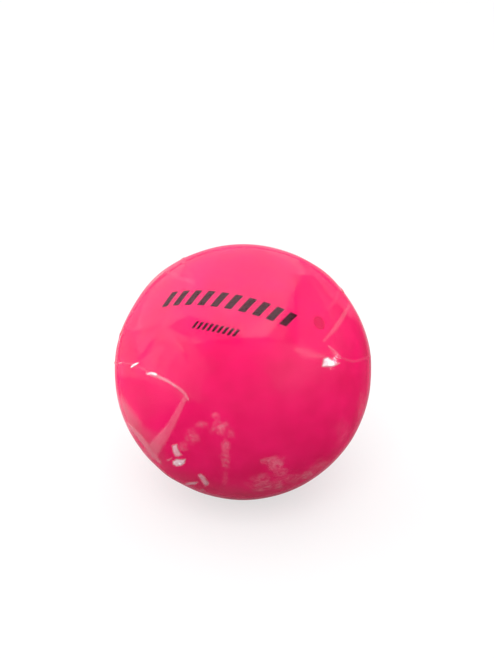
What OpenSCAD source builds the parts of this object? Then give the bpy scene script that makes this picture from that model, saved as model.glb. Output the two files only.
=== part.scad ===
// Low-bounce roller hockey ball in its clear shrink film.
// The ball's centre is the origin, +Z is up and the printed side faces -Y.
// A moulded PVC shell holds a charge of damping liquid behind a bonded fill plug.
// Two film panels, welded along one seal, wrap the ball and stand up in creases.

/* [Ball] */
// Outside diameter of the moulded shell
ball_d = 65; // [55:0.5:75]
// Wall thickness of the moulded shell
wall_t = 4; // [2.5:0.1:7]

/* [Fill plug] */
// Turn of the plug to the right of the front, in degrees
plug_turn = 51; // [-180:1:180]
// Rise of the plug above the equator, in degrees
plug_rise = 43; // [-80:1:80]
// Diameter of the plug's head
plug_head_d = 3.2; // [2.6:0.1:8]
// Depth of the plug's head in the wall
plug_head_h = 1.2; // [0.6:0.1:1.8]
// Diameter of the stem under the head
plug_stem_d = 2.2; // [1.8:0.1:2.4]
// Diameter of the stem at its inner end
plug_tip_d = 1.6; // [1:0.1:1.8]
// Bond line between the plug and its seat
plug_bond = 0.05; // [0.02:0.01:0.1]

/* [Liquid] */
// Depth of the liquid while the ball lies still
liquid_depth = 13.5; // [5:0.5:25]
// Running gap between the liquid and the wall
liquid_gap = 0.2; // [0.1:0.05:0.4]

/* [Film] */
// Thickness of the film
film_t = 0.06; // [0.04:0.01:0.2]
// Slack between the film and the ball
film_slack = 0.1; // [0.05:0.01:0.3]
// Lean of the wrap: the film's front faces this far above the horizontal, in degrees
wrap_lean = 30; // [0:1:60]
// Distance of the seal behind the ball's centre
seal_back = 7; // [2:0.5:15]
// Thickness of the welded seal
seal_t = 0.3; // [0.1:0.05:0.6]
// Width of the trimmed fin that the seal leaves outside the film
seal_fin = 0.7; // [0.3:0.05:1.5]

/* [Creases] */
// Height of the tallest crease above the film
crease_h = 0.7; // [0.3:0.05:1.2]
// Half width of a crease's foot for each millimetre of its height
crease_spread = 0.9; // [0.5:0.05:1.5]
// Number of short pleats gathered behind the seal
pleat_count = 18; // [6:1:24]
// Height of a gathered pleat above the film
pleat_h = 0.35; // [0.15:0.05:0.8]
// Length of the longest gathered pleat, in degrees round the ball
pleat_reach = 22; // [10:1:40]

/* [Hidden] */
$fn = 96;

// Overlap that keeps a cut or a joined foot clear of a coincident face
spare = 0.2;
ball_r = ball_d / 2;
cavity_r = ball_r - wall_t;
film_in_r = ball_r + film_slack;
film_out_r = film_in_r + film_t;
seal_in_r = sqrt(film_in_r ^ 2 - (seal_back + seal_t / 2) ^ 2);
seal_out_r = sqrt(film_out_r ^ 2 - seal_back ^ 2) + seal_fin;
// Side of a block that reaches past the whole object
block = 4 * film_out_r;

// The long creases of the front panel, each [start, end, share of crease_h]. A direction is
// [clock angle from the right-hand side, angle away from the film's front], in degrees.
FRONT_CREASES = [
    [[177, 84], [182, 45], 0.7],
    [[182, 48], [204, 28], 1.0],
    [[206, 27], [222, 88], 0.9],
    [[33, 84], [20, 42], 0.8],
    [[18, 42], [8, 52], 0.6],
    [[8, 48], [5, 88], 0.6],
    [[123, 86], [120, 54], 0.5],
    [[226, 48], [234, 66], 0.8],
    [[246, 58], [254, 72], 0.8],
    [[241, 90], [249, 68], 0.9],
];
// How far a crease's rim runs on under the film past each end, as a multiple of its half length
RUN_OUT = 1.5;
// Every other gathered pleat is this share of the longest
SHORT_PLEAT = 0.6;
// Turn that keeps the gathered pleats off the symmetry lines, in degrees
PLEAT_TURN = 7;
// Start of the gathered pleats in front of the seal, in degrees, so that they run out through it
PLEAT_LEAD = 6;

function unit(v) = v / norm(v);

// Direction on the wrap, with Z along the film's front
function wrap_dir(d) = [sin(d[1]) * cos(d[0]), sin(d[1]) * sin(d[0]), cos(d[1])];

// Turns a wrap built along Z so that its front faces -Y and leans up
module wrap_frame() {
    rotate([90 - wrap_lean, 0, 0]) children();
}

// Turns what is built along Z to point along the fill plug
module plug_frame() {
    rotate([90 - plug_rise, 0, plug_turn]) children();
}

// The stepped, tapered form of the plug, grown by a gap to make its seat
module plug_form(gap) {
    head_z = ball_r - plug_head_h - gap;
    rotate_extrude()
        polygon([
            [0, cavity_r - wall_t],
            [plug_tip_d / 2 + gap, cavity_r - wall_t],
            [plug_tip_d / 2 + gap, cavity_r],
            [plug_stem_d / 2 + gap, head_z],
            [plug_head_d / 2 + gap, head_z],
            [plug_head_d / 2 + gap, ball_r + spare],
            [0, ball_r + spare],
        ]);
}

// A pinched fold of film between two directions. It is the sharp rim of a disc that stands
// out of the film, tallest half way and running down into the film at both ends.
module crease(from, to, height) {
    a = wrap_dir(from);
    b = wrap_dir(to);
    half_angle = acos(a * b) / 2;
    half_chord = film_out_r * sin(half_angle);
    sagitta = height + film_out_r * (1 - cos(half_angle));
    rim_r = (half_chord ^ 2 + sagitta ^ 2) / (2 * sagitta);
    foot = height + film_t + spare;
    sweep = RUN_OUT * asin(half_chord / rim_r);
    middle = unit(a + b);
    side = unit(cross(a, b));
    along = cross(side, middle);
    multmatrix([
        [middle.x, along.x, side.x, 0],
        [middle.y, along.y, side.y, 0],
        [middle.z, along.z, side.z, 0],
        [0, 0, 0, 1],
    ])
        translate([film_out_r + height - rim_r, 0, 0])
            rotate([0, 0, -sweep])
                rotate_extrude(angle = 2 * sweep)
                    polygon([
                        [rim_r, 0],
                        [rim_r - foot, foot * crease_spread],
                        [rim_r - foot, -foot * crease_spread],
                    ]);
}

module front_creases() {
    for (c = FRONT_CREASES)
        crease(c[0], c[1], c[2] * crease_h);
}

// Short pleats spaced evenly round the back of the seal, long and short by turns
module gathered_pleats() {
    seal_off = 90 + asin(seal_back / film_out_r);
    for (i = [0 : pleat_count - 1]) {
        clock = PLEAT_TURN + i * 360 / pleat_count;
        reach = pleat_reach * (i % 2 == 0 ? 1 : SHORT_PLEAT);
        crease([clock, seal_off - PLEAT_LEAD], [clock, seal_off + reach], pleat_h);
    }
}

// The film's skin with its folds, before it is cut at the seal
module film_skin() {
    difference() {
        union() {
            sphere(r = film_out_r);
            children();
        }
        sphere(r = film_in_r);
    }
}

// Half space in front of the seal (side 1) or behind it (side -1)
module seal_side(side) {
    translate([0, 0, -seal_back + side * (seal_t + block) / 2])
        cube(block, center = true);
}

module ball_shell() {
    color("deeppink")
        difference() {
            sphere(r = ball_r);
            sphere(r = cavity_r);
            plug_frame() plug_form(plug_bond);
        }
}

module fill_plug() {
    color("mediumvioletred")
        difference() {
            intersection() {
                sphere(r = ball_r);
                plug_frame() plug_form(0);
            }
            sphere(r = cavity_r);
        }
}

module liquid_fill() {
    liquid_r = cavity_r - liquid_gap;
    color("lightblue", 0.6)
        intersection() {
            sphere(r = liquid_r);
            translate([0, 0, liquid_depth - liquid_r - block / 2]) cube(block, center = true);
        }
}

module film_front() {
    color("white", 0.25)
        wrap_frame()
            intersection() {
                film_skin() front_creases();
                seal_side(1);
            }
}

module film_back() {
    color("white", 0.25)
        wrap_frame()
            intersection() {
                film_skin() gathered_pleats();
                seal_side(-1);
            }
}

module film_seal() {
    color("white", 0.4)
        wrap_frame()
            translate([0, 0, -seal_back - seal_t / 2])
                rotate_extrude()
                    translate([seal_in_r, 0])
                        square([seal_out_r - seal_in_r, seal_t]);
}

ball_shell();
fill_plug();
liquid_fill();
film_front();
film_back();
film_seal();
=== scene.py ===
# %% [markdown]
# # A roller hockey ball in its shrink film
# The real object is a hot-pink moulded ball with damping liquid inside, a printed mark on its
# front and a tight bag of clear film around it. The CAD model already holds every piece at its
# real size, so this lesson only dresses those pieces: it never moves one.
# First the imported model is loaded.

# %% Load the frame
import math
from collections import namedtuple

import bmesh
import bpy
from mathutils import Matrix, Vector, geometry, kdtree, noise


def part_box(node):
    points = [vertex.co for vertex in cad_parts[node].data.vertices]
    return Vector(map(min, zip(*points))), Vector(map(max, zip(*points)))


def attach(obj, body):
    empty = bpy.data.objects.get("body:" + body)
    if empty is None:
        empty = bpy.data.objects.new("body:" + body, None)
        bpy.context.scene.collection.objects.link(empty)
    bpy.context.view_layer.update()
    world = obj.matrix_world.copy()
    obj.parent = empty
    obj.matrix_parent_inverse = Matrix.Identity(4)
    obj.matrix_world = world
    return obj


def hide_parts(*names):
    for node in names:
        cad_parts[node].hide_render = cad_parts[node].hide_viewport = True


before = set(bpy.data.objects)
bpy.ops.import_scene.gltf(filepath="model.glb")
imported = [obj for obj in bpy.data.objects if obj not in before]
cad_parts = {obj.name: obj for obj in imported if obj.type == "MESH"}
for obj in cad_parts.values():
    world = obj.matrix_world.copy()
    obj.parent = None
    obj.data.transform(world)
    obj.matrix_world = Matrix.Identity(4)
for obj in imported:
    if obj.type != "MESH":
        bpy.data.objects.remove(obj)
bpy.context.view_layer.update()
print("nodes:", sorted(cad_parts))

# %% [markdown]
# ## Sizes
# Everything below is in metres, so MM turns a size in millimetres into one. The ball's radius,
# the liquid's radius and its level come straight from the frame. The wall, the plug and the wrap
# repeat the CAD model's own dimensions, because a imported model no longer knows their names.

# %% Sizes from the frame
MM = 0.001
WALL = 4.0 * MM
PLUG_TURN = math.radians(51)
PLUG_RISE = math.radians(43)
WRAP_LEAN = math.radians(30)
SEAL_BACK = 7.0 * MM
SEAL_THICK = 0.3 * MM
SEAL_FIN = 0.7 * MM
FILM_THICK = 0.06 * MM
FILM_SLACK = 0.1 * MM

ball_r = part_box("ball_shell")[1].z
cavity_r = ball_r - WALL
liquid_r = -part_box("liquid_fill")[0].z
liquid_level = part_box("liquid_fill")[1].z
film_r = ball_r + FILM_SLACK + FILM_THICK
print(f"ball {ball_r / MM:.2f} mm, liquid level {liquid_level / MM:.2f} mm, film {film_r / MM:.2f} mm")

# %% [markdown]
# ## Camera
# The ball fills a circle of known size in the photograph. With a lens chosen, that circle fixes how
# far away the camera stands. It looks down at the wrap's lean, and it aims a little above the
# ball, because the ball sits below the middle of the picture.

# %% Camera
PHOTO_W, PHOTO_H = 494, 659
BALL_X, BALL_Y, BALL_PX = 243.25, 371.5, 127.2
LENS_MM, SENSOR_MM = 90.0, 36.0
NEAR_CLIP = 10 * MM

focal_px = LENS_MM / SENSOR_MM * PHOTO_H
eye_distance = ball_r / math.sin(math.atan(BALL_PX / focal_px))
view_right = Vector((1, 0, 0))
view_up = Vector((0, math.sin(WRAP_LEAN), math.cos(WRAP_LEAN)))
view_back = Vector((0, -math.cos(WRAP_LEAN), math.sin(WRAP_LEAN)))

camera_data = bpy.data.cameras.new("camera")
camera_data.lens = LENS_MM
camera_data.sensor_width = SENSOR_MM
camera_data.clip_start = NEAR_CLIP
camera = bpy.data.objects.new("camera", camera_data)
bpy.context.scene.collection.objects.link(camera)
bpy.context.scene.camera = camera
aim = -focal_px * view_back + (BALL_Y - PHOTO_H / 2) * view_up + (PHOTO_W / 2 - BALL_X) * view_right
camera.location = eye_distance * view_back
camera.rotation_mode = "QUATERNION"
camera.rotation_quaternion = aim.to_track_quat("-Z", "Y")
print(f"camera {eye_distance / MM:.0f} mm from the ball's centre")

# %% [markdown]
# ## From a place in the picture to a place on the ball
# The folds in the film are given as places in the photograph. Each place is carried on to the film
# along the camera's own ray, so a fold lies on the film seen from any side. A ray that passes
# outside the ball carries on round its back, which lets a fold run out over the edge.

# %% Picture to film
PAST_EDGE = math.radians(60)

film_edge = math.asin(film_r / eye_distance)
film_edge_px = focal_px * math.tan(film_edge)


def spot(x, y):
    """Unit direction from the ball's centre to the film at a place in the photograph."""
    across = Vector((x - BALL_X, BALL_Y - y))
    reach = across.length
    sight = math.atan(reach / focal_px)
    if sight < film_edge:
        off = math.asin(eye_distance * math.sin(sight) / film_r) - sight
    else:
        off = math.pi / 2 - film_edge + (reach / film_edge_px - 1) * PAST_EDGE
    side = across.normalized() if reach else across
    outward = side.x * view_right + side.y * view_up
    return (math.sin(off) * outward + math.cos(off) * view_back).normalized()


def seen_at(way):
    """Place in the photograph of a direction from the ball's centre: spot the other way round."""
    off = view_back.angle(way)
    past = off - (math.pi / 2 - film_edge)
    if past < 0:
        reach = focal_px * film_r * math.sin(off) / (eye_distance - film_r * math.cos(off))
    else:
        reach = film_edge_px * (1 + past / PAST_EDGE)
    side = Vector((way.dot(view_right), way.dot(view_up))).normalized()
    return Vector((BALL_X + reach * side.x, BALL_Y - reach * side.y))


print("the picture's middle is seen at", [round(v, 2) for v in seen_at(spot(PHOTO_W / 2, PHOTO_H / 2))])

# %% [markdown]
# ## Helpers for materials
# Every finish below is a small graph of nodes. These helpers stand for the nodes used most often, so
# that a finish reads like a recipe. Noise is read in the object's own coordinates, so that a finish
# stays on its piece when the piece moves.

# %% Helpers for materials


def new_material(name):
    """An empty node material with its output, and the tree to fill."""
    material = bpy.data.materials.new(name)
    material.use_nodes = True
    tree = material.node_tree
    tree.nodes.clear()
    output = tree.nodes.new("ShaderNodeOutputMaterial")
    return material, tree, output


def feed(tree, socket, value):
    """Sets a socket to a number or a colour, or links it to another node's output."""
    if isinstance(value, bpy.types.NodeSocket):
        tree.links.new(value, socket)
    else:
        socket.default_value = value


def math_node(tree, operation, *values):
    """Arithmetic on numbers or other nodes' outputs."""
    made = tree.nodes.new("ShaderNodeMath")
    made.operation = operation
    for socket, value in zip(made.inputs, values):
        feed(tree, socket, value)
    return made.outputs[0]


def ranged(tree, value, start, end, low=0.0, high=1.0, smooth=False):
    """A value between start and end carried to between low and high, and held beyond them."""
    made = tree.nodes.new("ShaderNodeMapRange")
    if smooth:
        made.interpolation_type = "SMOOTHSTEP"
    names = ("Value", "From Min", "From Max", "To Min", "To Max")
    for name, given in zip(names, (value, start, end, low, high)):
        feed(tree, made.inputs[name], given)
    return made.outputs["Result"]


def mixed(tree, share, first, second):
    """A colour that share of the way from the first to the second."""
    made = tree.nodes.new("ShaderNodeMix")
    made.data_type = "RGBA"
    for name, given in zip(("Factor", "A", "B"), (share, first, second)):
        feed(tree, made.inputs[name], given)
    return made.outputs["Result"]


def on_object(tree):
    """The place of each point in the object's own coordinates."""
    return tree.nodes.new("ShaderNodeTexCoord").outputs["Object"]


def noise_on(tree, scale, detail):
    """Soft random noise that stays on the object."""
    made = tree.nodes.new("ShaderNodeTexNoise")
    for name, given in (("Vector", on_object(tree)), ("Scale", scale), ("Detail", detail)):
        feed(tree, made.inputs[name], given)
    return made.outputs["Fac"]


def plastic(tree, output, inputs):
    """The material's surface shader, with each named input set or linked."""
    shader = tree.nodes.new("ShaderNodeBsdfPrincipled")
    for name, value in inputs.items():
        feed(tree, shader.inputs[name], value)
    tree.links.new(shader.outputs["BSDF"], output.inputs["Surface"])


def blended(tree, output, share, first, second):
    """A surface that share of the way from one shader to another."""
    both = tree.nodes.new("ShaderNodeMixShader")
    for socket, given in zip(both.inputs, (share, first, second)):
        feed(tree, socket, given)
    tree.links.new(both.outputs["Shader"], output.inputs["Surface"])


print("material helpers ready")

# %% [markdown]
# ## Floor and dark card
# A matt pale floor carries the ball. A studio floor is lit until it burns out to white. This one glows
# white in part where a ray looks straight at it, more so far away, so the ball gets no extra
# light and keeps its soft shadow. A dark card lies on the floor in front of the ball and shows only
# in the film's gloss, as a black flag does in a product photograph. It keeps the lower half of
# the film clear. It brightens to the room's level far away and fades out under the ball.

# %% Floor and dark card
FLOOR_HALF = 20.0
FLOOR_BOUNCE = 0.46
FLOOR_SEEN = 0.85
FLOOR_GLOW = 0.65
GLOW_NEAR, GLOW_FAR = 0.2, 0.6
CARD_HALF = 19.9
CARD_LIFT = 1.0 * MM
CARD_TURN = math.radians(45)
CARD_FADE_FROM, CARD_FADE_TO = 0.0, 0.08
CARD_GLOW = 0.12
CARD_NEAR, CARD_FAR = -0.04, -0.4
ROOM_LIGHT = 0.25


def grey(level):
    """Grey of that level, as a colour."""
    return (level, level, level, 1)


def add_sheet(name, half, centre, material):
    """A flat square of the stage."""
    bm = bmesh.new()
    bmesh.ops.create_grid(bm, x_segments=1, y_segments=1, size=half)
    bmesh.ops.translate(bm, verts=bm.verts, vec=centre)
    data = bpy.data.meshes.new(name)
    bm.to_mesh(data)
    bm.free()
    data.materials.append(material)
    sheet = bpy.data.objects.new(name, data)
    bpy.context.scene.collection.objects.link(sheet)
    return sheet


def floor_paint():
    """Matt pale paint that glows white, in part, where a ray looks straight at it."""
    material, tree, output = new_material("floor_paint")
    ray = tree.nodes.new("ShaderNodeLightPath")
    looked = ray.outputs["Is Camera Ray"]
    for kind in ("Is Glossy Ray", "Is Transmission Ray"):
        looked = math_node(tree, "MAXIMUM", looked, ray.outputs[kind])
    away = tree.nodes.new("ShaderNodeVectorMath")
    away.operation = "LENGTH"
    feed(tree, away.inputs[0], on_object(tree))
    glow = ranged(tree, away.outputs["Value"], GLOW_NEAR, GLOW_FAR, FLOOR_GLOW, smooth=True)
    paint = tree.nodes.new("ShaderNodeBsdfDiffuse")
    feed(tree, paint.inputs["Color"], mixed(tree, looked, grey(FLOOR_BOUNCE), grey(FLOOR_SEEN)))
    white = tree.nodes.new("ShaderNodeEmission")
    share = math_node(tree, "MULTIPLY", looked, glow)
    blended(tree, output, share, paint.outputs["BSDF"], white.outputs["Emission"])
    return material


def card_paint():
    """Dark card, as bright as the room far away, whose edge behind the ball fades out."""
    material, tree, output = new_material("card_paint")
    across = tree.nodes.new("ShaderNodeVectorMath")
    across.operation = "DOT_PRODUCT"
    across.inputs[1].default_value = (-math.sin(CARD_TURN), math.cos(CARD_TURN), 0)
    feed(tree, across.inputs[0], on_object(tree))
    behind = across.outputs["Value"]
    dark = tree.nodes.new("ShaderNodeEmission")
    feed(tree, dark.inputs["Strength"], ranged(tree, behind, CARD_FAR, CARD_NEAR, ROOM_LIGHT, CARD_GLOW))
    clear = tree.nodes.new("ShaderNodeBsdfTransparent")
    gone = ranged(tree, behind, CARD_FADE_FROM, CARD_FADE_TO, smooth=True)
    blended(tree, output, gone, dark.outputs["Emission"], clear.outputs["BSDF"])
    return material


add_sheet("floor", FLOOR_HALF, (0, 0, -film_r), floor_paint())
card = add_sheet("dark_card", CARD_HALF, (0, 0, -film_r + CARD_LIFT), card_paint())
card.visible_camera = False
card.visible_shadow = False
card.visible_diffuse = False
print("floor", 2 * FLOOR_HALF, "m across, card", 2 * CARD_HALF, "m across")

# %% [markdown]
# ## Room and lamps
# Soft panels stand where the highlights in the photograph say the lamps were: one overhead, a run on
# the left that dims towards the front, one behind, and a small strong strip on the right whose
# reflection joins the white glint, which is also painted on the film. A panel that is right for the
# gloss can be wrong for the pink below it. So a sheen shows only in the gloss, and a fill lights the
# ball without showing there. A sheen stands just behind its panel, because two lamps in one place
# count as one. Two narrow fills, low beside the ball, stand for the light that a white table throws
# back at its sides. The camera sees no lamp. The room itself is dim, and a little brighter high on
# the right.

# %% Room and lamps
ROOM_RIGHT = 0.42
ROOM_RIGHT_AT = 0.8
ROOM_HIGH_AT = 0.35
WALL_AT = 0.7
BACK_AT = 1.0
SHEEN_GAP = 0.01
FILL_TURN = math.radians(-5)
FILL_RISE = math.radians(52)
FILL_FAR = 0.9
FILL_TILT = (math.pi / 2 - FILL_RISE, 0, FILL_TURN)
QUARTER = math.radians(90)
BOUNCE_LEAN = math.radians(112)
DOWN, FROM_LEFT, FROM_RIGHT, FROM_BACK = (0, 0, 0), (0, -QUARTER, 0), (0, QUARTER, 0), (-QUARTER, 0, 0)
PANEL, SHEEN, FILL = "panel", "sheen", "fill"


def direction(turn, rise):
    """Unit direction turned to the right of the front and raised above the equator."""
    flat = math.cos(rise)
    return Vector((flat * math.sin(turn), -flat * math.cos(turn), math.sin(rise)))


# The run on the left, each panel's place from front to back, its length and its light
LEFT_RUN = [(-0.15, 0.2, 0.9), (-0.325, 0.15, 0.55), (-0.475, 0.15, 0.42), (-0.635, 0.17, 0.3),
            (-0.86, 0.28, 0.18)]
# Centre and size are in metres, turn is from facing down, and light is the panel's radiance
Lamp = namedtuple("Lamp", "name kind centre turn size light")
LAMPS = [
    Lamp("overhead_panel", PANEL, (-0.09, 0.303, WALL_AT), DOWN, (1.22, 1.414), 1.0),
    Lamp("overhead_sheen", SHEEN, (-0.09, 0.303, WALL_AT + SHEEN_GAP), DOWN, (1.22, 1.414), 0.25),
    Lamp("left_panel", PANEL, (-WALL_AT, 0.475, 0.355), FROM_LEFT, (0.69, 1.05), 1.05),
    Lamp("left_sheen", SHEEN, (-WALL_AT - SHEEN_GAP, 0.475, 0.355), FROM_LEFT, (0.69, 1.05), 0.25),
    *[Lamp(f"left_run_{i}", PANEL, (-WALL_AT, along, 0.355), FROM_LEFT, (0.69, length), light)
      for i, (along, length, light) in enumerate(LEFT_RUN)],
    Lamp("right_strip", PANEL, (WALL_AT, 0.0, 0.09), FROM_RIGHT, (0.05, 0.18), 9.0),
    Lamp("back_panel", PANEL, (-0.075, BACK_AT, 0.355), FROM_BACK, (1.25, 0.69), 0.8),
    Lamp("back_sheen", SHEEN, (-0.075, BACK_AT + SHEEN_GAP, 0.355), FROM_BACK, (1.25, 0.69), 0.5),
    Lamp("low_back_panel", PANEL, (0.74, BACK_AT, 0.14), FROM_BACK, (0.36, 0.26), 0.5),
    Lamp("right_fill", FILL, (WALL_AT, 0.3, 0.05), FROM_RIGHT, (0.4, 0.4), 3.3),
    Lamp("left_fill", FILL, (-WALL_AT, 0.1, 0.05), FROM_LEFT, (0.4, 0.4), 2.2),
    Lamp("left_bounce", FILL, (-0.085, 0.02, -0.018), (0, -BOUNCE_LEAN, 0), (0.028, 0.1), 1.6),
    Lamp("right_bounce", FILL, (0.085, 0.02, -0.018), (0, BOUNCE_LEAN, 0), (0.028, 0.1), 0.5),
    Lamp("front_fill", FILL, FILL_FAR * direction(FILL_TURN, FILL_RISE), FILL_TILT, (0.5, 0.5), 5.2),
]


def light_room(tree):
    """Even white light, with a little more from high on the right."""
    way = tree.nodes.new("ShaderNodeTexCoord")
    axes = tree.nodes.new("ShaderNodeSeparateXYZ")
    tree.links.new(way.outputs["Generated"], axes.inputs["Vector"])
    right = ranged(tree, axes.outputs["X"], 0.0, ROOM_RIGHT_AT, 0.0, ROOM_RIGHT, smooth=True)
    high = ranged(tree, axes.outputs["Z"], 0.0, ROOM_HIGH_AT, smooth=True)
    room = tree.nodes["Background"]
    room.inputs["Color"].default_value = grey(1)
    feed(tree, room.inputs["Strength"], math_node(tree, "MULTIPLY_ADD", right, high, ROOM_LIGHT))


def add_lamp(lamp):
    """A rectangular soft light of that radiance."""
    width, length = lamp.size
    data = bpy.data.lights.new(lamp.name, "AREA")
    data.shape = "RECTANGLE"
    data.size, data.size_y = width, length
    data.energy = lamp.light * math.pi * width * length
    made = bpy.data.objects.new(lamp.name, data)
    made.location = lamp.centre
    made.rotation_euler = lamp.turn
    made.visible_camera = False
    made.visible_diffuse = lamp.kind != SHEEN
    made.visible_glossy = lamp.kind != FILL
    bpy.context.scene.collection.objects.link(made)


world = bpy.data.worlds.new("room")
bpy.context.scene.world = world
world.use_nodes = True
light_room(world.node_tree)
for lamp in LAMPS:
    add_lamp(lamp)
bpy.context.scene.view_settings.view_transform = "Standard"
print("lamps:", [lamp.name for lamp in LAMPS])

# %% [markdown]
# ## Helpers for pieces
# A turned piece, such as the shell, starts as a half outline beside its axis and is spun into a
# solid. Where the outline touches the axis the spin leaves many points in one place, so they are
# merged before the normals are made to point outwards. Every piece then becomes an object at the
# origin, rides on its body and stands for its CAD node.

# %% Helpers for pieces
WELD = 0.0005 * MM


def arc(radius, start, end, steps):
    """Points (distance from the axis, height) on a circle, by angle from the axis."""
    angles = [start + (end - start) * i / steps for i in range(steps + 1)]
    return [(radius * math.sin(a), radius * math.cos(a)) for a in angles]


def spun(outline, steps):
    """A closed solid: the half outline spun round the Z axis."""
    bm = bmesh.new()
    verts = [bm.verts.new((r, 0, z)) for r, z in outline]
    edges = [bm.edges.new(pair) for pair in zip(verts, verts[1:])]
    bmesh.ops.spin(
        bm, geom=verts + edges, cent=(0, 0, 0), axis=(0, 0, 1), dvec=(0, 0, 0),
        angle=2 * math.pi, steps=steps, use_merge=True, use_duplicate=False,
    )
    bmesh.ops.remove_doubles(bm, verts=bm.verts, dist=WELD)
    bmesh.ops.recalc_face_normals(bm, faces=bm.faces)
    return bm


def point_along(bm, axis):
    """Turns a bmesh built along Z to point along a direction."""
    turn = Vector((0, 0, 1)).rotation_difference(axis).to_matrix()
    bmesh.ops.rotate(bm, verts=bm.verts, cent=(0, 0, 0), matrix=turn)


def finish_piece(name, bm, material, body, slot, *nodes):
    """Makes the object, smooth and at the origin, and puts it in the frame."""
    data = bpy.data.meshes.new(name)
    bm.to_mesh(data)
    bm.free()
    data.shade_smooth()
    data.materials.append(material)
    piece = bpy.data.objects.new(name, data)
    bpy.context.scene.collection.objects.link(piece)
    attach(piece, body)
    if nodes:
        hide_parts(*nodes)
    print(f"{name}: {len(data.vertices)} points, {len(data.polygons)} faces")
    return piece


print("piece helpers ready")

# %% [markdown]
# ## Moulded PVC
# The ball and its plug are the same soft plastic. Seen close it has a faint clouding in its colour
# and a very fine grain from the mould. Both materials need these, so they live in one node group
# that gives out a cloud mask and a grain height. The shader itself stays in each material. The
# plastic has no gloss of its own here: under the film, only the film's gloss shows.

# %% Moulded PVC
CLOUD_SCALE, CLOUD_DETAIL = 130, 3
CLOUD_FROM, CLOUD_TO = 0.26, 0.74
GRAIN_SCALE, GRAIN_DETAIL = 2600, 2
GRAIN_HEIGHT = 0.02 * MM
GRAIN_STRENGTH = 0.12


def make_skin_group():
    """A cloud mask for the colour and a grain height for the surface."""
    group = bpy.data.node_groups.new("moulded_skin", "ShaderNodeTree")
    for way, names in (("INPUT", ("Cloud Scale", "Grain Scale")), ("OUTPUT", ("Cloud", "Grain"))):
        for name in names:
            group.interface.new_socket(name, in_out=way, socket_type="NodeSocketFloat")
    inside = group.nodes.new("NodeGroupInput")
    outside = group.nodes.new("NodeGroupOutput")
    cloud = noise_on(group, inside.outputs["Cloud Scale"], CLOUD_DETAIL)
    grain = noise_on(group, inside.outputs["Grain Scale"], GRAIN_DETAIL)
    feed(group, outside.inputs["Cloud"], ranged(group, cloud, CLOUD_FROM, CLOUD_TO))
    feed(group, outside.inputs["Grain"], grain)
    return group


skin_group = make_skin_group()


def moulded_pvc(name, dark, light, roughness):
    """Soft moulded plastic between two colours."""
    material, tree, output = new_material(name)
    skin = tree.nodes.new("ShaderNodeGroup")
    skin.node_tree = skin_group
    skin.inputs["Cloud Scale"].default_value = CLOUD_SCALE
    skin.inputs["Grain Scale"].default_value = GRAIN_SCALE
    bump = tree.nodes.new("ShaderNodeBump")
    bump.inputs["Strength"].default_value = GRAIN_STRENGTH
    bump.inputs["Distance"].default_value = GRAIN_HEIGHT
    feed(tree, bump.inputs["Height"], skin.outputs["Grain"])
    plastic(tree, output, {
        "Base Color": mixed(tree, skin.outputs["Cloud"], (*dark, 1), (*light, 1)),
        "Roughness": roughness,
        "Specular IOR Level": 0.0,
        "Normal": bump.outputs["Normal"],
    })
    return material


shell_pink = moulded_pvc(
    "shell_pink", dark=(0.82, 0.003, 0.108), light=(0.97, 0.007, 0.151), roughness=0.45)
plug_pink = moulded_pvc(
    "plug_pink", dark=(0.69, 0.0015, 0.078), light=(0.75, 0.003, 0.092), roughness=0.5)
print("materials:", shell_pink.name, plug_pink.name)

# %% [markdown]
# ## Shell and fill plug
# The shell is moulded in one piece, with a stepped hole where it is filled. Everything about it is
# round about the plug's axis, so one half outline spun about that axis gives the outside, the
# cavity and the hole together. The plug is a second spin with the same steps and a bond line of
# clearance, and both mouths have a small chamfer so that the join shows as a fine ring.

# %% Shell and plug
PLUG_HEAD_R = 1.6 * MM
PLUG_HEAD_H = 1.2 * MM
PLUG_STEM_R = 1.1 * MM
PLUG_TIP_R = 0.8 * MM
PLUG_BOND = 0.05 * MM
PLUG_SINK = 0.06 * MM
MOUTH_CHAMFER = 0.12 * MM
SPIN_STEPS = 192
OUTSIDE_STEPS = 120
CAVITY_STEPS = 60
CROWN_STEPS = 8

plug_axis = direction(PLUG_TURN, PLUG_RISE)
head_z = ball_r - PLUG_HEAD_H
hole_r = PLUG_HEAD_R + PLUG_BOND
tip_hole_r = PLUG_TIP_R + PLUG_BOND
mouth_angle = math.asin((hole_r + MOUTH_CHAMFER) / ball_r)
throat_angle = math.asin(tip_hole_r / cavity_r)

shell_outline = arc(ball_r, math.pi, mouth_angle, OUTSIDE_STEPS)
shell_outline += [
    (hole_r, ball_r - MOUTH_CHAMFER),
    (hole_r, head_z - PLUG_BOND),
    (PLUG_STEM_R + PLUG_BOND, head_z - PLUG_BOND),
]
shell_outline += arc(cavity_r, throat_angle, math.pi, CAVITY_STEPS)
shell = spun(shell_outline, SPIN_STEPS)
point_along(shell, plug_axis)
finish_piece("moulded_shell", shell, shell_pink, "ball", "shell_pvc", "ball_shell")

plug_top = ball_r - PLUG_SINK
rim_angle = math.asin((PLUG_HEAD_R - MOUTH_CHAMFER) / plug_top)
plug_outline = [
    (0, cavity_r),
    (PLUG_TIP_R, cavity_r),
    (PLUG_STEM_R, head_z),
    (PLUG_HEAD_R, head_z),
    (PLUG_HEAD_R, plug_top - MOUTH_CHAMFER),
]
plug_outline += arc(plug_top, rim_angle, 0, CROWN_STEPS)
plug = spun(plug_outline, SPIN_STEPS // 3)
point_along(plug, plug_axis)
finish_piece("bonded_plug", plug, plug_pink, "ball", "plug_pvc", "fill_plug")

# %% [markdown]
# ## Damping liquid
# The liquid lies in the bottom of the cavity and is what makes the ball bounce so little. It is a
# bowl-shaped body with a flat top that creeps up the wall in a small curve. That curve is a quarter
# of a circle in the outline, so again one spin makes it. Its shader is a clear, slightly blue glass.

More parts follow.
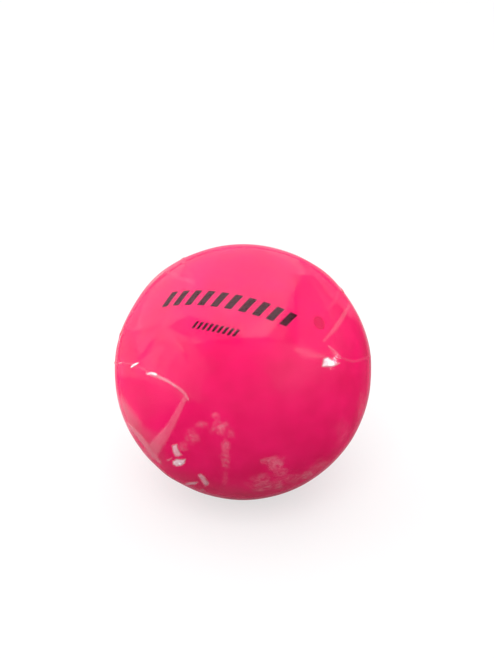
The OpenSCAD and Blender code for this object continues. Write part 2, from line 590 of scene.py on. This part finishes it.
# %% Damping liquid
CREEP = 0.9 * MM
CREEP_STEPS = 8
BOWL_STEPS = 48
SWIRL_SCALE, SWIRL_DETAIL = 60, 2
LIQUID_DEEP = (0.72, 0.86, 0.92, 1)
LIQUID_PALE = (0.82, 0.92, 0.95, 1)


def clear_liquid():
    """Clear, slightly blue glass with a faint swirl."""
    material, tree, output = new_material("clear_liquid")
    swirl = noise_on(tree, SWIRL_SCALE, SWIRL_DETAIL)
    plastic(tree, output, {
        "Base Color": mixed(tree, swirl, LIQUID_DEEP, LIQUID_PALE),
        "Roughness": 0.02,
        "IOR": 1.38,
        "Transmission Weight": 1.0,
    })
    return material


shore_z = liquid_level + CREEP
shore_angle = math.acos(shore_z / liquid_r)
shore_r = liquid_r * math.sin(shore_angle)
liquid_outline = arc(liquid_r, math.pi, shore_angle, BOWL_STEPS)
for i in range(1, CREEP_STEPS + 1):
    bend = QUARTER * i / CREEP_STEPS
    liquid_outline.append((shore_r - CREEP * (1 - math.cos(bend)), shore_z - CREEP * math.sin(bend)))
liquid_outline.append((0, liquid_level))
finish_piece("settled_liquid", spun(liquid_outline, SPIN_STEPS // 2), clear_liquid(), "liquid",
             "damping_liquid", "liquid_fill")

# %% [markdown]
# ## Printed mark
# A pad-printed mark sits on the ball under the film. This one is a plain row of slanted bars with a
# shorter, smaller row below. Each bar starts as a flat grid, is sheared to its slant, and is then
# wrapped on to the ball, so the ink follows the curve. Solidify gives the ink its thickness. The
# ink is thinner in tiny specks, where a little of the pink comes through.

# %% Printed mark
INK_LIFT = 0.012 * MM
INK_THICK = 0.01 * MM
INK_FULL = (0.045, 0.002, 0.01, 1)
INK_THIN = (0.085, 0.006, 0.022, 1)
INK_SPECK_SCALE, INK_SPECK_DETAIL = 900, 4
INK_THIN_FROM, INK_THIN_TO = 0.45, 0.75
BAR_ACROSS, BAR_ALONG = 4, 8
PRINT_TILT = math.radians(-16)
PRINT_SLANT = 0.42
Row = namedtuple("Row", "x y count width height gap")
PRINT_ROWS = [
    Row(226.5, 300, 10, 1.85 * MM, 4.4 * MM, 1.63 * MM),
    Row(215, 328, 9, 0.7 * MM, 1.9 * MM, 0.6 * MM),
]


def printing_ink():
    """Matt dark ink with thinner specks."""
    material, tree, output = new_material("printing_ink")
    thin = ranged(tree, noise_on(tree, INK_SPECK_SCALE, INK_SPECK_DETAIL), INK_THIN_FROM, INK_THIN_TO)
    plastic(tree, output, {
        "Base Color": mixed(tree, thin, INK_FULL, INK_THIN),
        "Roughness": 0.55,
        "Specular IOR Level": 0.0,
    })
    return material


def wrap_on_ball(centre, right, up, across, along):
    """The point of the ball that a flat step across and along from a centre wraps on to."""
    reach = math.hypot(across, along)
    if reach == 0:
        return centre * (ball_r + INK_LIFT)
    heading = (across * right + along * up) / reach
    angle = reach / ball_r
    return (math.cos(angle) * centre + math.sin(angle) * heading) * (ball_r + INK_LIFT)


def print_row(bm, row):
    """One row of bars, evenly spaced about its middle."""
    centre = spot(row.x, row.y)
    level = (view_right - view_right.dot(centre) * centre).normalized()
    right = Matrix.Rotation(PRINT_TILT, 3, centre) @ level
    up = centre.cross(right)
    pitch = row.width + row.gap
    for i in range(row.count):
        middle = (i - (row.count - 1) / 2) * pitch
        bar = bmesh.ops.create_grid(bm, x_segments=BAR_ACROSS, y_segments=BAR_ALONG, size=0.5)["verts"]
        for v in bar:
            along = v.co.y * row.height
            across = middle + v.co.x * row.width + PRINT_SLANT * along
            v.co = wrap_on_ball(centre, right, up, across, along)


mark = bmesh.new()
for row in PRINT_ROWS:
    print_row(mark, row)
bmesh.ops.recalc_face_normals(mark, faces=mark.faces)
for face in mark.faces:
    if face.normal.dot(face.calc_center_median()) < 0:
        face.normal_flip()
ink = finish_piece("printed_bars", mark, printing_ink(), "ball", "shell_pvc")
thickness = ink.modifiers.new("ink_thickness", "SOLIDIFY")
thickness.thickness = INK_THICK
thickness.offset = 1

# %% [markdown]
# ## Folds of the film
# Shrink film never lies quite flat on a ball: it stands up in pinched folds, and where it is
# stretched or doubled it turns a little milky. Along a ridge that milky share is partly a painted
# highlight, and a few short folds are painted glints, nearly white. Each fold is written as a path
# of places in the photograph with its half width, how far it lifts and how milky it is. Smooth
# curves through those few points give the paths their shape.

# %% Folds
Fold = namedtuple("Fold", "path lift veil edge")
# Path points are (x, y, half width in mm). Lift is in mm, the veil is the milky share, with painted
# highlights and glints in it, and edge is the share of the half width over which the fold fades out.
FOLDS = [
    # The ridge on the left: its milky share stands in part for the ridge's highlight, which is painted.
    Fold([(104, 362, 0.4), (122, 363, 0.4), (136, 365.5, 0.45), (150, 373, 0.6)], 0.2, 0.08, 0.9),
    Fold([(147, 373, 0.55), (157, 376, 0.65), (167, 380.5, 0.62), (176, 386, 0.5)], 0.12, 0.43, 0.9),
    Fold([(166, 380, 0.5), (176, 386, 0.65), (184, 392.5, 0.68), (188, 399, 0.5)], 0.12, 0.26, 0.9),
    Fold([(186, 397, 0.6), (180, 408, 0.85), (174, 420, 1.05), (167, 432, 1.3), (158, 444, 1.8),
          (146, 458, 2.6)], 0.2, 0.13, 0.4),
    Fold([(128, 424, 1.4), (138, 434, 2.2), (148, 446, 2.8), (156, 458, 2.4)], 0.15, 0.19, 0.6),
    # Painted glints: nearly white veil where the ridge catches the light, with no lift.
    Fold([(131, 367, 0.2), (134.5, 364.8, 0.45), (138.5, 362.8, 0.2)], 0.0, 0.97, 0.6),
    Fold([(148, 374, 0.3), (152, 373, 0.45), (157, 374.5, 0.35)], 0.0, 0.9, 0.6),
    Fold([(116, 364, 0.2), (122, 362.5, 0.3)], 0.0, 0.4, 0.6),
    Fold([(354, 297, 0.6), (345, 313, 0.75), (335, 328, 0.75), (324, 341, 0.4)], -0.05, 0.1, 0.5),
    Fold([(328.3, 346, 0.25), (335, 351.5, 0.35), (340.5, 356.5, 0.25)], 0.0, 0.2, 0.8),
    Fold([(340.5, 357, 0.25), (338, 358, 0.4), (334.5, 357.5, 0.25)], 0.0, 0.2, 0.8),
    Fold([(341, 358, 0.4), (354, 361.5, 0.5), (366, 358, 0.5), (380, 354, 0.5)], 0.1, 0.05, 0.9),
    Fold([(297, 350, 1.0), (304, 352.5, 2.0), (313, 355, 1.4), (326, 357, 0.5)], 0.0, 0.08, 1.0),
    Fold([(166, 271, 0.9), (178, 277, 1.2), (194, 283, 0.6)], 0.15, 0.05, 1.0),
    Fold([(181, 250, 0.7), (186, 268, 0.9), (195, 284, 0.6)], 0.2, 0.04, 1.0),
    Fold([(108, 336, 0.8), (135, 331, 1.4), (158, 323, 1.6), (176, 312, 0.9)], 0.2, 0.0, 1.0),
    Fold([(150, 346, 0.8), (163, 340, 1.4), (176, 345, 1.2), (186, 360, 0.8)], 0.2, 0.0, 1.0),
    Fold([(350, 268, 0.8), (343, 290, 1.2), (330, 308, 1.0)], 0.2, 0.02, 1.0),
]
# Milky smudges where the film is scuffed, as (x, y, half width, half height, veil)
SMUDGES = [
    (275, 464, 1.8, 1.9, 0.2), (268, 461, 1.8, 0.8, 0.16), (281, 472, 1.3, 1.2, 0.13),
    (262, 483, 2.6, 3.0, 0.1), (278, 484, 1.2, 2.2, 0.1), (292, 478, 2.6, 1.0, 0.09),
    (307, 475, 1.8, 1.2, 0.16), (322, 466, 3.5, 1.5, 0.07), (362, 410, 1.2, 4.0, 0.06),
    (342, 432, 1.6, 3.0, 0.03), (202, 424, 1.6, 0.7, 0.13), (192, 436, 1.5, 1.7, 0.13),
    (183, 446, 1.1, 1.2, 0.12), (215, 416, 1.0, 0.7, 0.1), (221, 427, 2.0, 1.5, 0.16),
    (230, 433, 0.9, 0.8, 0.09), (226, 446, 0.9, 1.8, 0.15), (225, 460, 0.9, 2.2, 0.13),
    (225, 478, 0.7, 2.0, 0.05),
]
# Places where the film stands off the ball, as (x, y, width in degrees, lift in mm)
STAND_OFFS = [
    (118, 395, 16, 0.2), (116, 345, 12, 0.2), (124, 328, 5, 0.18), (150, 282, 9, 0.3),
    (163, 270, 6, 0.3), (180, 258, 7, 0.2), (330, 275, 9, 0.25), (352, 310, 9, 0.3),
    (366, 345, 12, 0.2), (168, 474, 7, 0.25), (152, 440, 9, 0.2), (345, 440, 12, 0.1),
]
print(len(FOLDS), "folds,", len(SMUDGES), "smudges,", len(STAND_OFFS), "places off the ball")

# %% [markdown]
# ## Flecks and panes
# Where a pinched fold lies over flat it leaves a small fleck with straight sides, and there the
# film's glint is painted: the fleck is a veil, nearly white, that stands in for the highlight.
# Between the folds the film is drawn into flat panes, and each pane shines a little more or less than
# the next. Both are outlines of places in the photograph. A pane has its shine, where 1 is plain
# film, and the softness of its edge in the photograph's pixels.

# %% Flecks and panes
GlintFleck = namedtuple("GlintFleck", "corners veil")
Pane = namedtuple("Pane", "corners shine soft")
FLECK_SOFT = 1.4
# Each fleck's veil is the strength of its painted glint.
GLINT_FLECKS = [
    GlintFleck([(172.2, 445.4), (177, 443.7), (177.6, 447.9), (179.9, 452.4), (181.5, 454.5), (178.6, 456.1),
           (175.3, 455.7), (173.2, 451.2)], 0.66),
    GlintFleck([(172.8, 461.5), (176.6, 459), (180.7, 459.5), (185.3, 458.8), (184, 463.2), (180.7, 465.1),
           (176.6, 465.9), (173.2, 464)], 0.88),
    GlintFleck([(167, 459.5), (172, 457.6), (171.2, 459), (167.9, 460.5)], 0.3),
    GlintFleck([(198.1, 474.8), (200.6, 473.4), (203.5, 475.2), (208.5, 482.7), (208.1, 484.3), (205.2, 485.2),
           (202.7, 481.8)], 0.5),
    GlintFleck([(183.2, 484.3), (186.5, 482.7), (192.3, 481.9), (197.7, 481.8), (194.8, 483.9), (191.1, 484.3),
           (186.5, 485.4), (184.9, 485.8)], 0.55),
    GlintFleck([(199.4, 490.1), (203.1, 488.9), (203.7, 490.1), (201, 491.4)], 0.4),
    # The white glint on the right: painted nearly white, with the right strip's reflection on top of it.
    GlintFleck([(322.2, 366.4), (323.8, 359), (327.9, 357.4), (334, 361.9), (335.6, 363.5), (339.4, 363.2),
           (334, 366), (330.8, 366.4)], 0.98),
    GlintFleck([(328.3, 345.9), (330.8, 347.2), (340.7, 356.5), (339.7, 357.7), (335.9, 358.7),
           (331.5, 352.3)], 0.08),
]
PANES = [
    Pane([(122, 331), (140, 330), (155, 326), (165, 324), (172, 328), (186, 345), (188, 372),
          (176, 385), (150, 372), (135, 364), (120, 362)], 1.0, 1.6),
    Pane([(105, 310), (150, 255), (187, 250), (187, 257), (183, 268), (178, 279), (196, 279), (190, 289),
          (180, 303), (170, 318), (165, 324), (155, 326), (140, 330), (126, 329)], 1.25, 1.6),
    Pane([(157, 338), (152, 340), (138, 358), (143, 360), (151, 350)], 0.5, 1.6),
    Pane([(167, 327), (178, 319), (190, 316), (205, 320), (222, 328), (236, 333), (244, 338), (240, 346),
          (205, 342), (185, 336)], 0.42, 1.6),
    Pane([(258, 341), (266, 337), (274, 329), (281, 318), (288, 306), (291, 293), (298, 290),
          (298, 344)], 0.42, 1.6),
    Pane([(312, 268), (330, 266), (352, 290), (340, 303), (322, 308), (311, 302)], 1.05, 1.6),
    Pane([(238, 324), (276, 320), (271, 331), (262, 337.5), (252, 339.5), (242, 337.5)], 1.12, 1.6),
    Pane([(299, 250), (322, 262), (342, 280), (356, 298), (345, 301), (331, 287), (314, 274),
          (299, 264)], 0.5, 2.5),
    Pane([(303, 272), (305, 264), (316, 266), (322, 276), (312, 278)], 0.6, 2.0),
    Pane([(293.5, 275.5), (304, 272), (299, 282), (294.5, 288)], 2.1, 2.0),
    Pane([(116, 374), (146, 380), (176, 392), (184, 402), (176, 415), (166, 428), (156, 432), (146, 428),
          (135, 414), (122, 396)], 0.5, 2.5),
    Pane([(106, 392), (121, 396), (134, 413), (145, 428), (156, 433), (167, 428), (162, 446), (172, 468),
          (160, 484), (128, 460), (106, 425)], 2.6, 4.5),
    Pane([(160, 484), (172, 468), (190, 472), (215, 482), (250, 487), (290, 481), (330, 458), (350, 430),
          (378, 430), (352, 490), (290, 520), (220, 520)], 2.6, 8.0),
    Pane([(350, 430), (359, 405), (363, 370), (360, 330), (353, 306), (366, 300), (380, 330), (380, 370),
          (378, 430)], 2.6, 6.0),
]
print(len(GLINT_FLECKS), "flecks,", len(PANES), "panes")

# %% [markdown]
# ## Helpers for the film
# A fold is a curve with a width, and a fleck or a pane is an outline. These helpers draw the curve
# through its few points, tell how strongly a fold acts at some distance from it, and tell how deep
# inside an outline a place lies. All of them fade smoothly, because film has no hard steps.

# %% Helpers for the film
SAMPLE_STEPS = 14
SOFTEN = 0.06 * MM


def smooth_path(points):
    """Points on a smooth curve through the given ones, with every value curved alike."""
    ends = [points[0]] + list(points) + [points[-1]]
    made = []
    for a, b, c, d in zip(ends, ends[1:], ends[2:], ends[3:]):
        for i in range(SAMPLE_STEPS):
            t = i / SAMPLE_STEPS
            made.append(tuple(
                0.5 * (2 * q + (r - p) * t + (2 * p - 5 * q + 4 * r - s) * t ** 2
                       + (3 * q - p - 3 * r + s) * t ** 3)
                for p, q, r, s in zip(a, b, c, d)
            ))
    made.append(points[-1])
    return made


def fade(distance, half_width, edge):
    """1 inside a fold, falling smoothly to 0 over the outer share of its half width."""
    t = (1 - min(distance / half_width, 1)) / edge
    t = min(t, 1)
    return t * t * (3 - 2 * t)


def softly_above(value, least):
    """The value, eased so that it never falls below the least."""
    above = value - least
    return least + (above + math.sqrt(above * above + SOFTEN * SOFTEN)) / 2


def depth_inside(corners, place):
    """How far a place lies inside an outline, less than 0 outside it."""
    inside = False
    nearest = math.inf
    for a, b in zip(corners, corners[1:] + corners[:1]):
        along = min(max(geometry.intersect_point_line(place, a, b)[1], 0), 1)
        nearest = min(nearest, (place - a.lerp(b, along)).length)
        if (a.y > place.y) != (b.y > place.y):
            crossing = a.x + (b.x - a.x) * (place.y - a.y) / (b.y - a.y)
            inside = inside != (place.x < crossing)
    return nearest if inside else -nearest


def covered(corners, soft, places):
    """Each place near an outline, as its number and how far the outline covers it, 0 to 1."""
    outline = [Vector(c) for c in corners]
    low = [min(c[k] for c in corners) - soft for k in (0, 1)]
    high = [max(c[k] for c in corners) + soft for k in (0, 1)]
    for i, place in enumerate(places):
        if low[0] < place.x < high[0] and low[1] < place.y < high[1]:
            t = min(max(0.5 + depth_inside(outline, place) / (2 * soft), 0), 1)
            yield i, t * t * (3 - 2 * t)


def near_tree(points):
    """A tree that finds the points near a place quickly."""
    tree = kdtree.KDTree(len(points))
    for i, p in enumerate(points):
        tree.insert(p, i)
    tree.balance()
    return tree


print("film helpers ready")

# %% [markdown]
# ## Film mesh
# A film panel starts as a fine icosphere, whose triangles are all alike, and is cut at the seal. A
# pinched fold is far narrower than those triangles, so the mesh is split again near the folds and
# the flecks, and stays light everywhere else. Samples along every fold tell where that is.

# %% Film mesh
FILM_LEVEL = 7
CUT_SNAP = 1e-6
REFINE = [1.25 * MM, 0.6 * MM]
FOLD_END = 0.04
FLECK_SHARES = (0, 0.5, 1)

wrap_turn = Matrix.Rotation(math.pi / 2 - WRAP_LEAN, 3, "X")
fold_samples = []
for fold in FOLDS:
    path = smooth_path(fold.path)
    last = len(path) - 1
    for i, (x, y, half) in enumerate(path):
        run = math.sqrt(math.sin(math.pi * min(max(i / last, FOLD_END), 1 - FOLD_END)))
        fold_samples.append((film_r * spot(x, y), half * MM, fold, run))
fleck_points = []
for fleck in GLINT_FLECKS:
    corners = [Vector(c) for c in fleck.corners]
    middle = sum(corners, Vector((0, 0))) / len(corners)
    fleck_points += [film_r * spot(*c.lerp(middle, share)) for c in corners for share in FLECK_SHARES]
fold_tree = near_tree([s[0] for s in fold_samples] + fleck_points)
print(len(fold_samples), "samples along the folds,", len(fleck_points), "over the flecks")


def split_near_folds(bm):
    """Splits the edges near the folds twice, finer the nearer."""
    for reach in REFINE:
        close = [e for e in bm.edges
                 if fold_tree.find(film_r * (e.verts[0].co + e.verts[1].co) / 2)[2] < reach]
        bmesh.ops.subdivide_edges(bm, edges=close, cuts=1, use_grid_fill=True)
        for v in bm.verts:
            v.co.normalize()


def film_half(side):
    """One panel as directions of length 1: side 1 in front of the seal, -1 behind it."""
    bm = bmesh.new()
    bmesh.ops.create_icosphere(bm, subdivisions=FILM_LEVEL, radius=1)
    bmesh.ops.rotate(bm, verts=bm.verts, cent=(0, 0, 0), matrix=wrap_turn)
    bmesh.ops.bisect_plane(
        bm, geom=bm.verts[:] + bm.edges[:] + bm.faces[:], dist=CUT_SNAP,
        plane_co=-SEAL_BACK / film_r * view_back, plane_no=side * view_back, clear_inner=True,
    )
    return bm


# %% [markdown]
# ## Lifting the film
# Now every point is lifted off the ball: by a slow waviness, by the places that stand off, and by the
# folds and flecks. Round the white glint the waves are calmed, so that the glint keeps its shape.
# Three attributes go with the points for the film's material to read: how milky the film is, with
# its painted glints, how scuffed it is, and how much its pane shines.

# %% Lifting the film
WAVES = [(0.2 * MM, 60.0), (0.06 * MM, 170.0)]
CALM_SPOT = (331, 363)
CALM_REACH = 5.0 * MM
LEAST_LIFT = -0.07 * MM
FLECK_LIFT = 0.02 * MM
SMUDGE_REACH = 1.6
SMUDGE_SPREAD, SMUDGE_EDGE = 1.5, 0.8
RAGGED, RAGGED_SCALE = 0.5, 700


def slack_lift(points, base):
    """The film's height at each point before any fold."""
    calm = film_r * spot(*CALM_SPOT)
    lift = []
    for p in base:
        wave = sum(height * noise.noise(p * scale) for height, scale in WAVES)
        lift.append(wave * (1 - math.exp(-((p - calm).length / CALM_REACH) ** 2)))
    for x, y, width, height in STAND_OFFS:
        centre = spot(x, y)
        for i, v in enumerate(points):
            off = math.degrees(centre.angle(v.co)) / width
            lift[i] += height * MM * math.exp(-off * off)
    return lift


def add_folds(points, point_tree, lift, veil, pane):
    """Raises the folds and flecks, turns them milky, paints their glints white, and gives each pane its
    shine.
    """
    raised = [0.0] * len(points)
    for place, half, fold, run in fold_samples:
        for _, i, distance in point_tree.find_range(place, half):
            share = fade(distance, half, fold.edge)
            veil[i] = max(veil[i], fold.veil * share)
            bump = fold.lift * MM * run * share
            raised[i] = bump if abs(bump) > abs(raised[i]) else raised[i]
    places = [seen_at(v.co) for v in points]
    for fleck in GLINT_FLECKS:
        for i, share in covered(fleck.corners, FLECK_SOFT, places):
            veil[i] = max(veil[i], fleck.veil * share)
            raised[i] += FLECK_LIFT * share
    for facet in PANES:
        for i, share in covered(facet.corners, facet.soft, places):
            pane[i] += (facet.shine - pane[i]) * share
    for i, height in enumerate(raised):
        lift[i] += height


def add_smudges(base, point_tree, scuff):
    """Marks the scuffed smudges, each with a ragged edge."""
    for x, y, half_x, half_y, share in SMUDGES:
        centre = film_r * spot(x, y)
        reach = max(half_x, half_y) * MM * SMUDGE_REACH
        for _, i, _ in point_tree.find_range(centre, reach):
            step = base[i] - centre
            across = math.hypot(step.dot(view_right) / (half_x * MM), step.dot(view_up) / (half_y * MM))
            ragged = 1 + RAGGED * noise.noise(base[i] * RAGGED_SCALE)
            scuff[i] = max(scuff[i], share * fade(across * ragged, SMUDGE_SPREAD, SMUDGE_EDGE))


def lift_film(bm, with_folds):
    """Lifts every point of a panel and stores its three attributes."""
    layers = [bm.verts.layers.float.new(name) for name in ("veil", "scuff", "pane")]
    points = bm.verts[:]
    base = [film_r * v.co for v in points]
    point_tree = near_tree(base)
    lift = slack_lift(points, base)
    veil, scuff, pane = [0.0] * len(points), [0.0] * len(points), [1.0] * len(points)
    if with_folds:
        add_folds(points, point_tree, lift, veil, pane)
    add_smudges(base, point_tree, scuff)
    for v, height, *values in zip(points, lift, veil, scuff, pane):
        for layer, value in zip(layers, values):
            v[layer] = value
        v.co = v.co * (film_r + softly_above(height, LEAST_LIFT))


print(len(WAVES), "waves, calm round", CALM_SPOT)

# %% [markdown]
# ## Film material
# The film is almost all clear: light goes straight through it to the ball. What shows is a faint
# mirror-like gloss, stronger at a glancing angle, and the milky veil of folds, flecks and scuffs.
# The veil also carries painted highlights: on the flecks and on a few short folds it is painted
# nearly white as glints, and along the ridge folds it is partly a painted highlight. One shader
# does both. Its alpha is gloss plus veil, and its metallic share is how much of that is gloss,
# because a metal reflects like a mirror and a non-metal scatters white. The gloss differs from pane
# to pane, and a thin veil is pinker than a thick one, whose nearly white end is the colour of the
# painted glints. At the very edge of the ball the eye looks through the film sideways and sees only
# pink, so a pink rim joins in there. The film's inner face adds nothing.

# %% Film material
FILM_ROUGHNESS = 0.11
SPECK_SCALE, SPECK_DETAIL = 850, 3
SPECK_FROM, SPECK_TO = 0.36, 0.66
SPECK_LEAST, SPECK_MOST = 0.25, 1.5
WISP_GAIN, WISP_LEAST = 0.8, 0.6
TENSION_SCALE = 75
TENSION_GAIN, TENSION_LEAST = 0.3, 0.85
GLANCE_POWER = 4.0
RIM_FROM, RIM_TO, RIM_MOST = 0.74, 0.9, 0.92
RIM_PINK = (0.82, 0.07, 0.17, 1)
# The veil's colour ramp: above its thin end it colours mostly the painted glints, and its nearly white
# end is their colour.
THIN_VEIL, MILKY_AND_GLINT_VEIL, GLINT_VEIL = 0.4, 0.9, 0.98
THIN_COLOUR = (1, 0.5, 0.62, 1)
MILKY_AND_GLINT_COLOUR = (1, 0.72, 0.79, 1)
GLINT_WHITE = (1, 0.93, 0.96, 1)


def stored(tree, name):
    """The attribute of that name, kept at each point of the mesh."""
    made = tree.nodes.new("ShaderNodeAttribute")
    made.attribute_name = name
    return made.outputs["Fac"]


def film_veil_and_glints(tree, least_veil):
    """How milky the film is, with its painted glints: folds and flecks broken up by wisps, and speckled
    scuffs.
    """
    specks = noise_on(tree, SPECK_SCALE, SPECK_DETAIL)
    speckle = ranged(tree, specks, SPECK_FROM, SPECK_TO, SPECK_LEAST, SPECK_MOST)
    scuffs = math_node(tree, "MULTIPLY", stored(tree, "scuff"), speckle)
    wisps = math_node(tree, "MULTIPLY_ADD", specks, WISP_GAIN, WISP_LEAST)
    marks = math_node(tree, "MULTIPLY_ADD", stored(tree, "veil"), wisps, scuffs)
    return math_node(tree, "ADD", marks, least_veil)


def film_gloss(tree, facing, gloss_facing, gloss_edge):
    """How much the film mirrors: more at a glance, and different in every pane."""
    cells = tree.nodes.new("ShaderNodeTexVoronoi")
    cells.inputs["Scale"].default_value = TENSION_SCALE
    feed(tree, cells.inputs["Vector"], on_object(tree))
    parts = tree.nodes.new("ShaderNodeSeparateColor")
    tree.links.new(cells.outputs["Color"], parts.inputs["Color"])
    tension = math_node(tree, "MULTIPLY_ADD", parts.outputs["Red"], TENSION_GAIN, TENSION_LEAST)
    shine = math_node(tree, "MULTIPLY", tension, stored(tree, "pane"))
    edge = math_node(tree, "POWER", facing, GLANCE_POWER)
    gloss = math_node(tree, "MULTIPLY_ADD", edge, gloss_edge, gloss_facing)
    return math_node(tree, "MULTIPLY", gloss, shine)


def veil_and_glint_colour(tree, veil):
    """Pink where the veil is thin, nearly white where it is thick, which is the white of the painted
    glints.
    """
    milky = tree.nodes.new("ShaderNodeValToRGB")
    stops = milky.color_ramp.elements
    stops[0].position, stops[0].color = THIN_VEIL, THIN_COLOUR
    stops[1].position, stops[1].color = GLINT_VEIL, GLINT_WHITE
    stops.new(MILKY_AND_GLINT_VEIL).color = MILKY_AND_GLINT_COLOUR
    tree.links.new(veil, milky.inputs["Fac"])
    return milky.outputs["Color"]


def shrink_film(name, gloss_facing, gloss_edge, least_veil):
    """Clear film that shows its gloss, its veil with painted glints, and its pink rim."""
    material, tree, output = new_material(name)
    glance = tree.nodes.new("ShaderNodeLayerWeight")
    facing = glance.outputs["Facing"]
    veil = film_veil_and_glints(tree, least_veil)
    gloss = film_gloss(tree, facing, gloss_facing, gloss_edge)
    rim = ranged(tree, facing, RIM_FROM, RIM_TO, 0.0, RIM_MOST, smooth=True)
    shown = math_node(tree, "ADD", gloss, veil)
    all_shown = math_node(tree, "ADD", shown, rim)
    mirror = math_node(tree, "DIVIDE", gloss, all_shown)
    pink = math_node(tree, "DIVIDE", rim, all_shown)
    side = tree.nodes.new("ShaderNodeNewGeometry")
    outer = math_node(tree, "SUBTRACT", 1.0, side.outputs["Backfacing"])
    cover = math_node(tree, "MINIMUM", math_node(tree, "MAXIMUM", shown, rim), 1.0)
    haze = mixed(tree, mirror, veil_and_glint_colour(tree, veil), grey(1))
    plastic(tree, output, {
        "Base Color": mixed(tree, pink, haze, RIM_PINK),
        "Metallic": mirror,
        "Roughness": FILM_ROUGHNESS,
        "Specular IOR Level": 0.0,
        "Alpha": math_node(tree, "MULTIPLY", cover, outer),
    })
    return material


film_clear = shrink_film("film_clear", gloss_facing=0.042, gloss_edge=0.1, least_veil=0.003)
film_welded = shrink_film("film_welded", gloss_facing=0.06, gloss_edge=0.15, least_veil=0.25)
print("materials:", film_clear.name, film_welded.name)

# %% [markdown]
# ## Front and back panels
# The front panel has the folds in the photograph. The back panel, which the photograph can't show,
# gathers in short pleats behind the seal, long and short by turns, as a shrunk bag does. Both are
# lifted in the same way and then given the film's thickness inwards by Solidify.

# %% Front and back panels
PLEATS = 18
PLEAT_TURN = math.radians(7)
PLEAT_LIFT = 0.4 * MM
PLEAT_VEIL = 0.22
PLEAT_REACH = math.radians(22)
SHORT_PLEAT = 0.6
PLEAT_NARROW = 5
PLEAT_PINCH = 1.3


def gather(bm):
    """Short pleats, long and short by turns, from the seal over the back."""
    veil = bm.verts.layers.float["veil"]
    seal_off = math.pi / 2 + math.asin(SEAL_BACK / film_r)
    for v in bm.verts:
        out = v.co.normalized()
        behind = out.angle(view_back) - seal_off
        clock = math.atan2(out.dot(view_up), out.dot(view_right)) - PLEAT_TURN
        turn = clock / (2 * math.pi) * PLEATS
        nearest = round(turn)
        reach = PLEAT_REACH * (1.0 if nearest % 2 == 0 else SHORT_PLEAT)
        ridge = max(0.0, 1 - abs(turn - nearest) * PLEAT_NARROW) ** PLEAT_PINCH
        run = max(0.0, 1 - behind / reach)
        v.co += out * PLEAT_LIFT * ridge * math.sqrt(run)
        v[veil] = PLEAT_VEIL * ridge * run


def film_panel(name, bm, node):
    """Finishes a panel in triangles and gives it the film's thickness."""
    bmesh.ops.triangulate(bm, faces=bm.faces)
    panel = finish_piece(name, bm, film_clear, "ball", "shrink_film", node)
    wall = panel.modifiers.new("film_thickness", "SOLIDIFY")
    wall.thickness = FILM_THICK
    wall.offset = -1


front = film_half(1)
split_near_folds(front)
lift_film(front, True)
film_panel("film_front_panel", front, "film_front")

back = film_half(-1)
lift_film(back, False)
gather(back)
film_panel("film_back_panel", back, "film_back")

# %% [markdown]
# ## Welded seal
# The seal is where the two panels are welded together and trimmed: a thin fin that runs round the
# ball, a little behind its widest line. A hot bar leaves it slightly wavy. So a flat ring is spun
# first, and then its outer edge is bent by two waves, while its inner edge stays on the film.

# %% Welded seal
FIN_STEPS = 360
FIN_WAVE = 0.12 * MM
FIN_WAVES = 37
FIN_SLOW_WAVES = 11
FIN_SLOW_SHARE = 0.6

fin_in = math.sqrt((film_r - FILM_THICK) ** 2 - SEAL_BACK ** 2)
fin_out = math.sqrt(film_r ** 2 - SEAL_BACK ** 2) + SEAL_FIN
low, high = -SEAL_BACK - SEAL_THICK / 2, -SEAL_BACK + SEAL_THICK / 2
fin_outline = [(fin_in, low), (fin_out, low), (fin_out, high), (fin_in, high), (fin_in, low)]
fin = spun(fin_outline, FIN_STEPS)
fin_pane = fin.verts.layers.float.new("pane")
for v in fin.verts:
    v[fin_pane] = 1
    clock = math.atan2(v.co.y, v.co.x)
    out = (math.hypot(v.co.x, v.co.y) - fin_in) / (fin_out - fin_in)
    wave = math.sin(FIN_WAVES * clock) + FIN_SLOW_SHARE * math.sin(FIN_SLOW_WAVES * clock)
    v.co.z += out * FIN_WAVE * wave
bmesh.ops.rotate(fin, verts=fin.verts, cent=(0, 0, 0), matrix=wrap_turn)
finish_piece("welded_seal", fin, film_welded, "ball", "film_weld", "film_seal")
